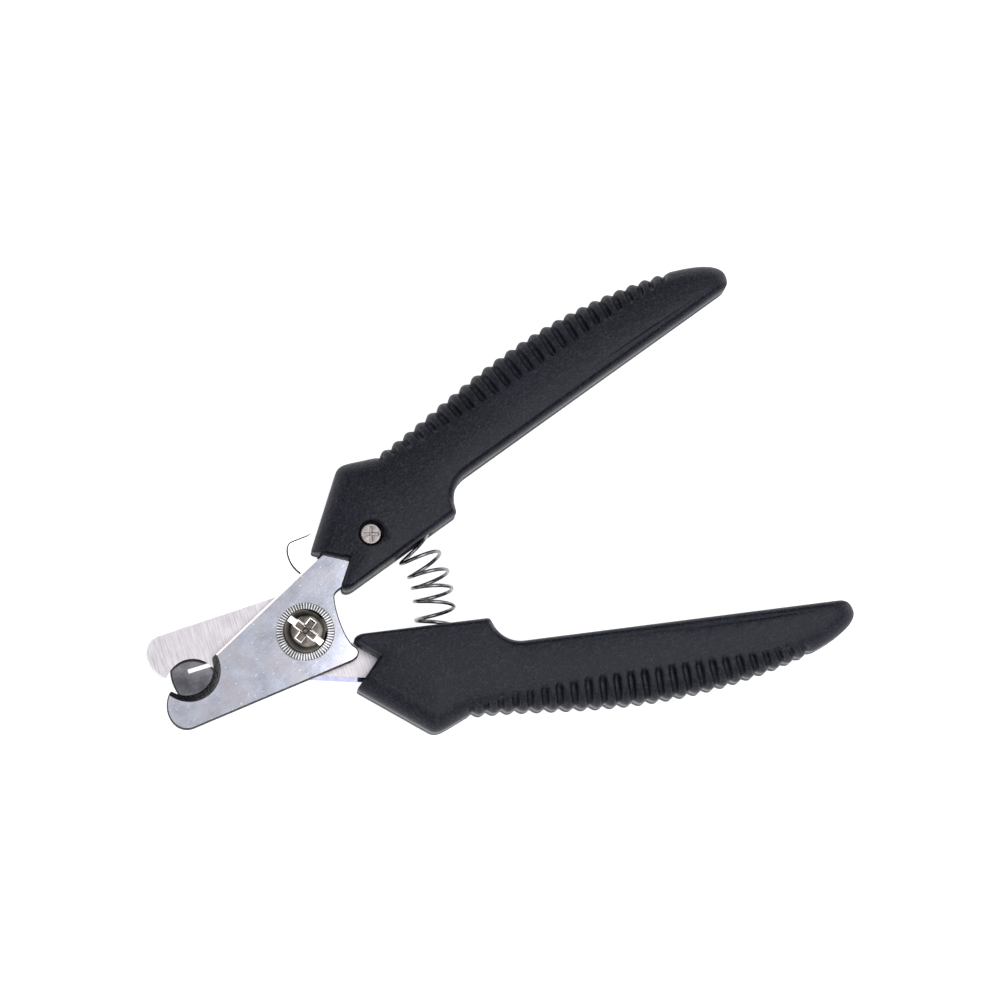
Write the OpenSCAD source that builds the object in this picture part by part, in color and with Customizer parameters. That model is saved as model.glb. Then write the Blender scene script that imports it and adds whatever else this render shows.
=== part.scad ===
// Plier-type pet nail clipper, open on its stop.
// Origin: pivot axis on the plane the clipper lies on. +X points from the pivot to the
// handle ends, along the line halfway between the handles. +Z points to the front face.
// The lower half is the upper half turned over about the X direction.

/* [Blades] */
// Thickness of each blade
blade_t = 2.5; // [2.3:0.1:2.7]
// Radius of the nail notch at the cutting edge
notch_r = 4.9; // [4.5:0.1:5.2]
// Growth of the notch radius from the cutting edge to the outer face
notch_flare = 0.75; // [0.4:0.05:0.8]
// Lean of the ground bevel of the notch, in degrees
notch_lean = 16; // [10:1:20]
// Width of the chamfers along the straight edge
edge_chamfer = 0.4; // [0.2:0.05:0.7]
// Turn of the crossed blades against the handles, in degrees
blade_turn = 0.8; // [0:0.1:1]

/* [Handles] */
// Thickness of a handle
handle_t = 13; // [12.6:0.1:13.4]
// Height of the rounded edge of a shell
round_h = 3; // [2:0.25:3.5]
// Distance that each handle sits off its nominal place on the tang, up one and down the other
handle_slide = 0.75; // [0.5:0.05:0.9]
// Number of finger ribs
rib_count = 24; // [20:1:24]
// Spacing of the finger ribs
rib_pitch = 2.5; // [2.3:0.05:2.5]
// Depth of the grooves between the ribs
rib_depth = 0.7; // [0.3:0.1:0.9]

/* [Pivot] */
// Diameter of the pivot screw's shank
pivot_d = 4; // [3.6:0.1:4.2]
// Radial running clearance on the pivot screw
run_fit = 0.05; // [0.02:0.01:0.08]
// Running gap between the faces of neighbouring layers
gap = 0.05; // [0.03:0.01:0.08]
// Diameter of the pivot screw's head
head_d = 8; // [7.4:0.1:8.4]
// Height of the pivot screw's head
head_h = 2.2; // [1.8:0.1:2.6]
// Diameter of the serrated washer
washer_d = 10.4; // [10:0.1:11.6]
// Thickness of the serrated washer
washer_t = 0.9; // [0.7:0.1:1.2]
// Number of serrations on the washer
serrations = 60; // [36:4:72]

/* [Guard] */
// Thickness of the guard plate
guard_t = 1; // [0.8:0.1:1.1]
// Height of the disc spring under the guard
disc_h = 0.7; // [0.5:0.05:0.8]

/* [Return spring] */
// Outer diameter of the spring
spring_d = 7.7; // [6.8:0.1:7.8]
// Diameter of the spring wire
wire_d = 0.7; // [0.5:0.05:0.8]
// Number of turns
turns = 7; // [6:0.5:8.5]

/* [Handle screws] */
// Diameter of a handle screw's head
small_head_d = 4.1; // [3.6:0.1:4.2]
// Diameter of the recess over a handle screw's head
recess_d = 4.7; // [4.5:0.1:5.4]
// Diameter of a handle screw's shank
small_d = 2.2; // [2:0.1:2.4]

/* [Hidden] */
$fn = 96;
eps = 0.01;

// Heights: the blades shear on the mid-plane of the handles
mid_z = handle_t / 2;
half_t = handle_t / 2;
blade_low = mid_z + gap / 2;
blade_top = blade_low + blade_t;
guard_top = handle_t - blade_top - gap;
guard_low = guard_top - guard_t;
disc_top = guard_low - gap;
nut_h = disc_top - disc_h;
washer_low = blade_top + gap;
head_low = washer_low + washer_t;

// Ridge ribs: place of the first groove
groove_x = 22.9;
rib_steps = 6;

// Handle screw and tang
screw_at = [16.5, 11.95];
screw_reach = 4;
tang_hole_d = 4.2;
ledge_t = 0.6;
small_head_h = 1.2;
tang_play = 0.06;

// Spring pocket: mouth centre on the inner edge of a handle, and the slope of that edge
inner_slope = 14.5;
pocket_x = 23;
pocket_d = spring_d + 0.6;
pocket_deep = 2.1;

function bez(c, t) = pow(1 - t, 3) * c[0] + 3 * pow(1 - t, 2) * t * c[1]
                   + 3 * (1 - t) * t * t * c[2] + t * t * t * c[3];
function bez_run(c, t) = 3 * pow(1 - t, 2) * (c[1] - c[0]) + 6 * (1 - t) * t * (c[2] - c[1])
                       + 3 * t * t * (c[3] - c[2]);
// points of a curve, without its last one
function curve(c, n) = [for (i = [0:n - 1]) bez(c, i / n)];
// parameter at which a curve that runs towards +X passes x
function t_at(c, x, lo = 0, hi = 1, n = 18) =
    n == 0 ? (lo + hi) / 2
    : bez(c, (lo + hi) / 2)[0] < x ? t_at(c, x, (lo + hi) / 2, hi, n - 1)
    : t_at(c, x, lo, (lo + hi) / 2, n - 1);
function unit(v) = v / norm(v);

// ---- blade outline (front blade, in place) ----
tang_slope = 23;
mouth = [8.3, 12.43];
tang_w = 7.2;
tang_len = 23;
nose_a = [[-26.4, -1.6], [-27.3, -2.5], [-27.95, -3.8], [-27.95, -5.2]];
nose_b = [[-27.95, -5.2], [-27.95, -7.4], [-26.6, -9.05], [-24.3, -8.97]];
lobe = [[5.6, -7.77], [7.4, -7.7], [8.3, -6.6], [7.2, -5.3]];
flank = [[7.2, -5.3], [6.2, -3.6], [6.3, 1.6], [7.1, 4.1]];
shoulder = [[7.1, 4.1], [7.5, 5], [8.4, 4.9], [9.8, 5.45]];
tang_dir = [cos(tang_slope), sin(tang_slope)];
tang_side = [-sin(tang_slope), cos(tang_slope)];
tang_foot = mouth - tang_w * tang_side;
function tang_at(along, up) = tang_foot + along * tang_dir + up * tang_side;
notch_at = [-22.25, 2.35];
straight_start = mouth - 26.8 * tang_dir;
blade_outline = concat([straight_start, [-25.6, -0.9]], curve(nose_a, 8), curve(nose_b, 10),
    curve(lobe, 10), curve(flank, 8), curve(shoulder, 6),
    [tang_at(1.6, 0), tang_at(tang_len - 1.2, 0), tang_at(tang_len, 1.2),
     tang_at(tang_len, tang_w - 1.2), tang_at(tang_len - 1.2, tang_w), mouth]);

// ---- handle outline: wall line and, inside it, the edge of the flat face ----
ridge_wall = [[22, 24.6], [36, 27.8], [51, 36.9], [76.5, 36.9]];
ridge_face = [[22.8, 21.3], [37, 24.6], [52, 33.6], [76.5, 33.6]];
tail_wall = [[76.5, 36.9], [85, 36.9], [93.4, 35.6], [93.4, 32.2]];
tail_face = [[76.5, 33.6], [83, 33.6], [89.9, 33.2], [90.2, 32]];
end_wall = [[93.4, 32.2], [93.4, 31], [93, 30.1], [91.5, 29.73]];
end_face = [[90.2, 32], [90.3, 31.5], [90.3, 31], [89.6, 30.5]];
fillet_wall = [[36.5, 15.81], [34, 15.2], [32.7, 13.2], [32.4, 11.4]];
fillet_face = [[36.2, 17], [33.3, 16.3], [31.5, 13.8], [31.2, 11.7]];
prong_wall = [[10.2, 4.12], [8.6, 3.7], [7.6, 4.6], [8.5, 5.7]];
prong_face = [[10.5, 4.85], [9.7, 4.7], [9, 4.95], [9.3, 5.4]];
back_wall = [[14.6, 24.4], [16, 26.1], [17.5, 25.1], [22, 24.6]];
back_face = [[16.9, 22.2], [17.4, 22.7], [18.6, 21.8], [22.8, 21.3]];

rib_end = groove_x + rib_count * rib_pitch;
function groove(x) = x < groove_x - rib_pitch / 2 || x > rib_end + rib_pitch / 2 ? 0
    : rib_depth * (1 - abs(sin(180 * (x - groove_x) / rib_pitch)));
function inward(c, t) = let (r = unit(bez_run(c, t))) [r[1], -r[0]];

// One point of a ring: 'in' runs from 0 on the wall line to 1 on the face edge
function ring_point(wall, face, t, in) = (1 - in) * bez(wall, t) + in * bez(face, t)
    + (1 - in) * groove(bez(wall, t)[0]) * inward(wall, t);
function ring_curve(wall, face, n, in, from = 0) =
    [for (i = [0:n - 1]) ring_point(wall, face, from + (1 - from) * i / n, in)];
function mix(a, b, in) = (1 - in) * a + in * b;
// along the ridge, a point for each sixth of a rib, with a little before and after the ribs
function ridge_points(in) = [for (i = [-2:rib_count * rib_steps + 2])
    let (x = groove_x + i * rib_pitch / rib_steps, tail = x > ridge_wall[3][0])
    let (w = tail ? tail_wall : ridge_wall, f = tail ? tail_face : ridge_face)
    ring_point(w, f, t_at(w, x), in)];

function handle_ring(in) = concat(
    [mix([5.4, 13], [8.2, 11.7], in)],
    ring_curve(back_wall, back_face, 6, in),
    ridge_points(in),
    ring_curve(tail_wall, tail_face, 8, in, t_at(tail_wall, rib_end + rib_pitch / 2)),
    ring_curve(end_wall, end_face, 5, in),
    [mix([91.5, 29.73], [89.6, 30.5], in)],
    ring_curve(fillet_wall, fillet_face, 6, in),
    [mix([32.4, 11.4], [31.2, 11.7], in), mix([32.2, 10.1], [31, 10.8], in),
     mix([31.8, 9.7], [30.7, 10.5], in)],
    ring_curve(prong_wall, prong_face, 6, in),
    [mix([8.5, 5.7], [9.3, 5.4], in), mix([11.3, 9.05], [12.12, 9.1], in)]);

// hollow inside each shell, behind the tang
hollow_points = [[38, 19.2], [84, 30.8], [85, 32.4], [76, 33.4], [60, 31.9], [49, 28.6],
                 [41, 25.4], [37, 24], [36, 21]];
hollow_top = half_t - 2.2;

// Places that things hold to when they are on the lower half
module turned() {
    translate([0, 0, mid_z]) rotate([180, 0, 0]) translate([0, 0, -mid_z]) children();
}

// ---- blades ----
module notch_cut() {
    lean_dir = unit([0.35, -0.94]);
    lift = 3;
    slope = notch_flare / blade_t;
    translate([notch_at[0], notch_at[1], 0])
        rotate(a = notch_lean, v = [-lean_dir[1], lean_dir[0], 0])
            translate([0, 0, -lift])
                cylinder(h = 3 * lift, r1 = notch_r - lift * slope,
                         r2 = notch_r + 2 * lift * slope);
}

module blade() {
    translate([0, 0, blade_low]) difference() {
        linear_extrude(blade_t) polygon(blade_outline);
        notch_cut();
        translate([0, 0, -1]) cylinder(h = blade_t + 2, d = pivot_d + 2 * run_fit);
        translate([screw_at[0], screw_at[1], -1]) cylinder(h = blade_t + 2, d = tang_hole_d);
        straight_chamfer(0);
        straight_chamfer(blade_t);
    }
}

// Triangular prism along the straight edge, at height z of the blade, past the notch
module straight_chamfer(z) {
    c = edge_chamfer;
    past_notch = 30;
    translate([mouth[0], mouth[1], z]) rotate([90, 0, tang_slope - 90])
        linear_extrude(past_notch) polygon([[eps, -c], [eps, c], [-c, 0]]);
}

module front_blade() {
    color("silver") rotate([0, 0, -blade_turn]) blade();
}

module rear_blade() {
    color("lightgray") rotate([0, 0, -blade_turn]) turned() blade();
}

// ---- pivot ----
module cross_recess(size, wing, deep) {
    for (a = [0, 90])
        rotate([0, 0, a]) translate([-size / 2, -wing / 2, -deep]) cube([size, wing, deep + 1]);
    translate([0, 0, -deep * 1.2]) cylinder(h = deep * 1.2 + eps, r1 = wing * 0.4, r2 = wing);
}

// Half profile of a pan head: a straight side, then a quarter ellipse to a flat top. The side is
// a share of the height, and the flat's radius a share of the diameter.
module pan_profile(d, h, side = 0.35, flat = 0.3) {
    polygon(concat([[0, 0], [d / 2, 0]],
        [for (a = [0:15:90]) [(flat + (0.5 - flat) * cos(a)) * d,
                              (side + (1 - side) * sin(a)) * h]],
        [[0, h]]));
}

module pivot_screw() {
    slot_angle = -59;
    color("dimgray") difference() {
        union() {
            translate([0, 0, head_low]) rotate_extrude() pan_profile(head_d, head_h);
            translate([0, 0, 0.3]) cylinder(h = head_low, d = pivot_d);
            cylinder(h = 0.3 + eps, d1 = pivot_d - 0.6, d2 = pivot_d);
        }
        translate([0, 0, head_low + head_h]) rotate([0, 0, slot_angle]) {
            cross_recess(4.4, 1.3, 1.4);
            translate([-head_d, -0.6, -0.8]) cube([2 * head_d, 1.2, 2]);
        }
    }
}

module knurled_washer() {
    tooth_h = 0.25;
    color("gainsboro") translate([0, 0, washer_low]) difference() {
        cylinder(h = washer_t, d = washer_d);
        translate([0, 0, -1]) cylinder(h = washer_t + 2, d = pivot_d + 0.2);
        for (i = [0:serrations - 1])
            rotate([0, 0, i * 360 / serrations])
                translate([head_d / 2 + 0.35, 0, washer_t - tooth_h])
                    rotate([45, 0, 0]) cube([washer_d, tooth_h, tooth_h]);
    }
}

module pivot_nut() {
    flats = 7;
    color("silver") difference() {
        intersection() {
            cylinder(h = nut_h, d = flats / cos(30), $fn = 6);
            translate([0, 0, -4]) cylinder(h = 8 + nut_h, r1 = flats / 2 + 2.6,
                                           r2 = flats / 2 - 4.2 + nut_h);
        }
        translate([0, 0, -1]) cylinder(h = nut_h + 2, d = pivot_d);
    }
}

// Cone-shaped spring washer that holds the guard where it is put
module disc_spring() {
    metal = 0.35;
    outer = 4.2;
    color("gray") translate([0, 0, nut_h]) rotate_extrude()
        polygon([[pivot_d / 2 + 0.1, disc_h - metal], [pivot_d / 2 + 0.1, disc_h],
                 [pivot_d / 2 + 0.5, disc_h], [outer, metal], [outer, 0], [outer - 0.4, 0]]);
}

// ---- guard: ring, stop arm behind the notch, thumb tab beside the upper handle ----
guard_outline = concat(
    [for (a = [-62:14:78]) 6.4 * [cos(a), sin(a)]],
    [[3, 8.4], [5.4, 12.9], [8.2, 16.3]],
    curve([[8.2, 16.6], [6, 16.6], [5, 16.6], [4.1, 16.6]], 2),
    curve([[4.1, 16.6], [2.9, 16.6], [2.3, 15.4], [2.3, 13.6]], 6),
    curve([[2.3, 13.6], [2.3, 12.2], [2.9, 11.2], [3.3, 10.5]], 4),
    [[3.3, 10.5], [1.2, 7.4], [-2.4, 6.2], [-8, 5.4], [-21, 5]],
    curve([[-22.4, 5], [-24, 4.8], [-24.9, 3.2], [-25.1, 1.2]], 6),
    curve([[-25.1, 1.2], [-25.3, -1.2], [-24.6, -3.8], [-22.6, -4.9]], 6),
    [[-22.6, -4.9], [-8, -4.9], [-2.6, -6]]);

module guard_plate() {
    slot_w = 0.85;
    color("dimgray") translate([0, 0, guard_low]) difference() {
        linear_extrude(guard_t) polygon(guard_outline);
        translate([0, 0, -1]) cylinder(h = guard_t + 2, d = pivot_d + 2 * run_fit);
        translate([-21.8, 1.6 - slot_w / 2, -1]) rotate([0, 0, -4.3])
            cube([6.5, slot_w, guard_t + 2]);
    }
}

// ---- handle shells, local height 0 on the mid-plane ----
round_steps = [0, 30, 60, 90];
spare = 1;
shell_rings = concat([[0, -spare]], [for (a = round_steps)
    [1 - cos(a), half_t - round_h + round_h * sin(a)]]);

module shell_solid() {
    rings = [for (r = shell_rings) handle_ring(r[0])];
    n = len(rings[0]);
    m = len(shell_rings);
    points = [for (k = [0:m - 1]) for (p = rings[k]) [p[0], p[1], shell_rings[k][1]]];
    walls = [for (k = [0:m - 2]) for (i = [0:n - 1])
        let (j = (i + 1) % n, a = k * n, b = (k + 1) * n)
        each [[a + i, b + j, b + i], [a + i, a + j, b + j]]];
    bottom = [for (i = [n - 1:-1:0]) i];
    top = [for (i = [0:n - 1]) (m - 1) * n + i];
    difference() {
        polyhedron(points, concat(walls, [bottom, top]));
        translate([0, 0, -2 * spare]) cube([100, 50, 2 * spare]);
    }
}

module hollow() {
    translate([0, 0, -1]) linear_extrude(hollow_top + 1) polygon(hollow_points);
}

function pocket_mouth() = [pocket_x, 4.12 + (pocket_x - 10.2) * tan(inner_slope)];

module pocket() {
    translate([pocket_mouth()[0], pocket_mouth()[1], 0])
        rotate([0, 0, inner_slope]) rotate([-90, 0, 0])
            translate([0, 0, -3]) cylinder(h = pocket_deep + 3, d = pocket_d);
}

// Pocket for the tang, cut where the blade lies in that handle: side is 1 in the upper
// handle and -1 in the lower one
module tang_pocket(side) {
    p = tang_play;
    translate([-side * handle_slide, 0, -1]) rotate([0, 0, -side * blade_turn])
        linear_extrude(blade_t + gap / 2 + 1)
            polygon([tang_at(-6, -p), tang_at(tang_len - 1.2, -p), tang_at(tang_len + p, 1.2),
                     tang_at(tang_len + p, tang_w - 1.2),
                     tang_at(tang_len - 1.2, tang_w + p), tang_at(-6, tang_w + p)]);
}

seat_z = blade_t + gap / 2 + ledge_t;

module shell_body() {
    difference() {
        shell_solid();
        hollow();
        pocket();
    }
}

module tang_shell(side) {
    difference() {
        difference() {
            shell_body();
            tang_pocket(side);
        }
        translate([screw_at[0], screw_at[1], seat_z]) cylinder(h = half_t, d = recess_d);
        translate([screw_at[0], screw_at[1], -1]) cylinder(h = half_t + 2, d = small_d + 0.2);
    }
}

module cover_shell() {
    difference() {
        shell_body();
        translate([screw_at[0], screw_at[1], -1])
            cylinder(h = 1 + screw_reach + 0.4, d = small_d);
    }
}

module handle_at(side) {
    translate([side * handle_slide, 0, mid_z]) children();
}

module upper_handle_front() {
    color([0.1, 0.1, 0.12]) handle_at(1) tang_shell(1);
}

module upper_handle_rear() {
    color([0.13, 0.13, 0.15]) handle_at(1) mirror([0, 0, 1]) cover_shell();
}

module lower_handle_front() {
    color([0.1, 0.1, 0.12]) turned() handle_at(-1) mirror([0, 0, 1]) cover_shell();
}

module lower_handle_rear() {
    color([0.13, 0.13, 0.15]) turned() handle_at(-1) tang_shell(-1);
}

// ---- handle screw: head on its seat, shank through the tang into the cover shell ----
module handle_screw() {
    translate([screw_at[0], screw_at[1], 0]) difference() {
        union() {
            translate([0, 0, seat_z]) rotate_extrude()
                pan_profile(small_head_d, small_head_h, 0.7, 0.4);
            translate([0, 0, -screw_reach]) cylinder(h = screw_reach + seat_z + eps, d = small_d);
            translate([0, 0, -screw_reach - 0.4]) cylinder(h = 0.4 + eps, d1 = 1, d2 = small_d);
        }
        translate([0, 0, seat_z + small_head_h]) rotate([0, 0, -21]) cross_recess(2.9, 0.6, 0.6);
    }
}

module upper_handle_screw() {
    color("silver") handle_at(1) handle_screw();
}

module lower_handle_screw() {
    color("silver") turned() handle_at(-1) handle_screw();
}

// ---- return spring: a coil on a bowed centre line between the two pockets ----
wire_sides = 8;
wire_steps = 18;
seat_gap = wire_d / 2 + 0.03;
pocket_in = [-sin(inner_slope), cos(inner_slope)];
upper_seat = pocket_mouth() + (pocket_deep - seat_gap) * pocket_in + [handle_slide, 0];
lower_seat_up = pocket_mouth() + (pocket_deep - seat_gap) * pocket_in - [handle_slide, 0];
bow = 9;
spring_line = [[lower_seat_up[0], -lower_seat_up[1]],
               [lower_seat_up[0] - bow * pocket_in[0], -lower_seat_up[1] + bow * pocket_in[1]],
               upper_seat - bow * pocket_in, upper_seat];
spring_len = norm(spring_line[3] - spring_line[0]);
// share of the length reached after a share u of the turns; the end turns lie closed
closed = 1 / turns;
flat_share = wire_d * 1.05 / spring_len;
function reached(u) = u < closed ? u / closed * flat_share
    : u > 1 - closed ? 1 - (1 - u) / closed * flat_share
    : flat_share + (u - closed) / (1 - 2 * closed) * (1 - 2 * flat_share);
function flat3(v) = [v[0], v[1], 0];
function side_of(s) = let (r = unit(bez_run(spring_line, s))) [r[1], -r[0], 0];
function outward(u) = cos(360 * turns * u) * side_of(reached(u))
                    + [0, 0, sin(360 * turns * u)];
function coil(u) = flat3(bez(spring_line, reached(u))) + [0, 0, mid_z]
                 + (spring_d - wire_d) / 2 * outward(u);
function coil_run(u) = unit(coil(min(1, u + 0.001)) - coil(max(0, u - 0.001)));

module return_spring() {
    n = round(turns * wire_steps);
    points = [for (i = [0:n]) let (u = i / n, e = outward(u), f = unit(cross(coil_run(u), e)))
        for (k = [0:wire_sides - 1]) let (a = 360 * k / wire_sides)
        coil(u) + wire_d / 2 * (cos(a) * e + sin(a) * f)];
    walls = [for (i = [0:n - 1]) for (k = [0:wire_sides - 1])
        let (a = i * wire_sides, b = a + wire_sides, j = (k + 1) % wire_sides)
        each [[a + k, b + k, b + j], [a + k, b + j, a + j]]];
    start = [for (k = [0:wire_sides - 1]) k];
    finish = [for (k = [wire_sides - 1:-1:0]) n * wire_sides + k];
    color("gray") polyhedron(points, concat(walls, [start, finish]));
}

front_blade();
rear_blade();
pivot_screw();
knurled_washer();
pivot_nut();
disc_spring();
guard_plate();
return_spring();
upper_handle_front();
upper_handle_rear();
lower_handle_front();
lower_handle_rear();
upper_handle_screw();
lower_handle_screw();
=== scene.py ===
"""Looks of the plier-type pet nail clipper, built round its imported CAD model.

Outlines and sizes are in millimetres, in the frame of the CAD model; MM turns them into metres.
"""

import math

import bmesh
import bpy
import numpy as np
from mathutils import Matrix, Vector
from mathutils.geometry import delaunay_2d_cdt, tessellate_polygon


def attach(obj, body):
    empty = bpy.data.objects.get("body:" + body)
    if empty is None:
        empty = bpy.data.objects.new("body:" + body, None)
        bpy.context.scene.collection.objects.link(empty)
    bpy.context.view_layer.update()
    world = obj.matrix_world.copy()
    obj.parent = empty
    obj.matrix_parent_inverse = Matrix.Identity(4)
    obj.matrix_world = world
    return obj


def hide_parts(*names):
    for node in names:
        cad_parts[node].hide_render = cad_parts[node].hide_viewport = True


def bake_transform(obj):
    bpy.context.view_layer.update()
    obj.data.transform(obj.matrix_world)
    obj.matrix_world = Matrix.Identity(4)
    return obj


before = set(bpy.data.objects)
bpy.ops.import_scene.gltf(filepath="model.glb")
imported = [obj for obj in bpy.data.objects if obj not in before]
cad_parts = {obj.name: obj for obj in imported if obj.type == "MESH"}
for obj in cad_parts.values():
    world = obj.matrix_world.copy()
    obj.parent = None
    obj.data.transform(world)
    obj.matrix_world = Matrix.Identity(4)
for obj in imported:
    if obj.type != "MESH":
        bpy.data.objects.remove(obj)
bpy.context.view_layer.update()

MM = 0.001

# ---- sizes shared with the CAD model ----
HANDLE_T = 13.0
MID = HANDLE_T / 2
HALF = HANDLE_T / 2
GAP = 0.05
BLADE_T = 2.5
BLADE_LOW = MID + GAP / 2
BLADE_TOP = BLADE_LOW + BLADE_T
BLADE_TURN = math.radians(0.8)
GUARD_T = 1.0
GUARD_TOP = HANDLE_T - BLADE_TOP - GAP
GUARD_LOW = GUARD_TOP - GUARD_T
DISC_H = 0.7
NUT_H = GUARD_LOW - GAP - DISC_H
WASHER_LOW = BLADE_TOP + GAP
WASHER_T = 0.9
HEAD_LOW = WASHER_LOW + WASHER_T
HEAD_H = 2.2
HEAD_D = 8.0
PIVOT_D = 4.0
RUN_FIT = 0.05
HANDLE_SLIDE = 0.75

TANG_SLOPE = math.radians(23)
TANG_DIR = np.array([math.cos(TANG_SLOPE), math.sin(TANG_SLOPE)])
TANG_SIDE = np.array([-math.sin(TANG_SLOPE), math.cos(TANG_SLOPE)])
TANG_W = 7.2
TANG_LEN = 23.0
TANG_CORNER = 1.2
MOUTH = np.array([8.3, 12.43])
TANG_FOOT = MOUTH - TANG_W * TANG_SIDE
SCREW_AT = (16.5, 11.95)
RECESS_D = 4.7
SCREW_SEAT = BLADE_T + GAP / 2 + 0.6

NOTCH_AT = (-22.25, 2.35)
NOTCH_R = 4.9
NOTCH_FLARE = 0.75
NOTCH_LEAN = math.radians(16)
NOTCH_LEANS_TO = (0.35, -0.94)
NOTCH_LIFT = 3.0
EDGE_CHAMFER = 0.4
REAR_CHAMFER = 0.75
EDGE_WEAR = 0.2

INNER_SLOPE = math.radians(14.5)
POCKET_X = 23.0
POCKET_DEEP = 2.1
SPRING_D = 7.7
WIRE_D = 0.7
TURNS = 7
BOW = 9.0

# A face counts as flat when its normal is at least this much along Z.
FLAT = 0.85


# ---------------------------------------------------------------- geometry helpers
def bez(points, t):
    """Points of a cubic Bezier curve at the values t."""
    c = np.array(points, float)
    t = np.atleast_1d(np.asarray(t, float))[:, None]
    return ((1 - t) ** 3 * c[0] + 3 * (1 - t) ** 2 * t * c[1]
            + 3 * (1 - t) * t ** 2 * c[2] + t ** 3 * c[3])


def bez_run(points, t):
    """Direction of travel of the curve at the values t."""
    c = np.array(points, float)
    t = np.atleast_1d(np.asarray(t, float))[:, None]
    return (3 * (1 - t) ** 2 * (c[1] - c[0]) + 6 * (1 - t) * t * (c[2] - c[1])
            + 3 * t ** 2 * (c[3] - c[2]))


def curve(points, n):
    """n points of a curve, without its last one."""
    return bez(points, np.arange(n) / n).tolist()


def t_at(points, x):
    """Value at which a curve that runs towards +X passes x."""
    table = np.linspace(0, 1, 2001)
    return np.interp(x, bez(points, table)[:, 0], table)


def smoothstep(lo, hi, x):
    t = np.clip((x - lo) / (hi - lo), 0, 1)
    return t * t * (3 - 2 * t)


def unit(v):
    v = np.asarray(v, float)
    return v / np.linalg.norm(v, axis=-1, keepdims=True)


def tang_at(along, up):
    return (TANG_FOOT + along * TANG_DIR + up * TANG_SIDE).tolist()


def object_from(name, verts, faces, materials, sharp):
    """A mesh object from points in millimetres, smooth shaded except at sharp edges."""
    mesh = bpy.data.meshes.new(name)
    mesh.from_pydata((np.asarray(verts, float) * MM).tolist(), [], [list(f) for f in faces])
    for material in materials:
        mesh.materials.append(material)
    finish_mesh(mesh, sharp)
    obj = bpy.data.objects.new(name, mesh)
    bpy.context.scene.collection.objects.link(obj)
    return obj


def finish_mesh(mesh, sharp):
    """Outward normals, smooth shading, and sharp edges above an angle in degrees."""
    bm = bmesh.new()
    bm.from_mesh(mesh)
    bmesh.ops.remove_doubles(bm, verts=bm.verts, dist=1e-7)
    bmesh.ops.recalc_face_normals(bm, faces=bm.faces)
    bm.to_mesh(mesh)
    bm.free()
    mesh.shade_smooth()
    mesh.set_sharp_from_angle(angle=math.radians(sharp))


def inset_loop(loop, width):
    """A closed outline, anticlockwise, moved in by a small width."""
    points = np.array(loop)
    ahead = unit(np.roll(points, -1, axis=0) - points)
    behind = np.roll(ahead, 1, axis=0)
    inward = unit(np.column_stack([-ahead[:, 1] - behind[:, 1], ahead[:, 0] + behind[:, 0]]))
    square = np.maximum(0.5, inward[:, 1] * ahead[:, 0] - inward[:, 0] * ahead[:, 1])
    return points + inward * (width / square)[:, None]


def flat_fill(loop):
    """Triangles, as indices into the loop, that fill a flat outline."""
    return [tuple(t) for t in tessellate_polygon([[Vector((p[0], p[1], 0)) for p in loop]])]


def band_faces(rows, n, closed=False):
    """Quads between rows of n points each, and from the last row to the first if closed."""
    faces = []
    for k in range(rows if closed else rows - 1):
        low, high = k * n, (k + 1) % rows * n
        for i in range(n):
            j = (i + 1) % n
            faces.append((low + i, low + j, high + j, high + i))
    return faces


def stack(name, rings, heights, materials, sharp=40.0):
    """A solid from outlines with the same number of points, one above the other."""
    n = len(rings[0])
    top = (len(rings) - 1) * n
    verts = [(p[0], p[1], z) for ring, z in zip(rings, heights) for p in ring]
    faces = [tuple(reversed(range(n)))]
    faces += band_faces(len(rings), n)
    faces.append(tuple(range(top, top + n)))
    return object_from(name, verts, faces, materials, sharp)


def revolve(name, profile, materials, segments=128, sharp=40.0):
    """A solid of revolution about Z. The profile is a closed loop of (radius, height)."""
    angles = np.arange(segments) * 2 * math.pi / segments
    verts, faces, n = [], [], len(profile)
    for a in angles:
        verts += [(r * math.cos(a), r * math.sin(a), z) for r, z in profile]
    for s in range(segments):
        t = (s + 1) % segments
        for i in range(n):
            j = (i + 1) % n
            if profile[i][0] == 0 and profile[j][0] == 0:
                continue
            quad = [s * n + i, t * n + i, t * n + j, s * n + j]
            if profile[i][0] == 0:
                quad = [s * n + i, t * n + j, s * n + j]
            elif profile[j][0] == 0:
                quad = [s * n + i, t * n + i, s * n + j]
            faces.append(tuple(quad))
    return object_from(name, verts, faces, materials, sharp)


def rod(name, radius, low, high, material, segments=64):
    """A cylinder about Z, to cut a hole with."""
    return revolve(name, [(0, low), (radius, low), (radius, high), (0, high)], [material],
                   segments)


def box_mesh(name, low, high, materials):
    ring = [(low[0], low[1]), (high[0], low[1]), (high[0], high[1]), (low[0], high[1])]
    return stack(name, [ring, ring], [low[2], high[2]], materials)


def bake_modifiers(obj, sharp):
    """Puts the result of the modifiers into the mesh."""
    graph = bpy.context.evaluated_depsgraph_get()
    mesh = bpy.data.meshes.new_from_object(obj.evaluated_get(graph))
    old = obj.data
    obj.modifiers.clear()
    obj.data = mesh
    mesh.name = old.name
    bpy.data.meshes.remove(old)
    mesh.shade_smooth()
    mesh.set_sharp_from_angle(angle=math.radians(sharp))


def carve(obj, cutters, sharp, operation="DIFFERENCE"):
    """Cuts the cutters out of obj. Faces that a cutter makes take the cutter's material."""
    for cutter in cutters:
        cut = obj.modifiers.new("cut", "BOOLEAN")
        cut.operation = operation
        cut.solver = "EXACT"
        cut.material_mode = "TRANSFER"
        cut.object = cutter
    bake_modifiers(obj, sharp)
    for cutter in cutters:
        bpy.data.objects.remove(cutter)


SOFT_SEGMENTS = 2
SOFT_ANGLE = math.radians(28)


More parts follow.
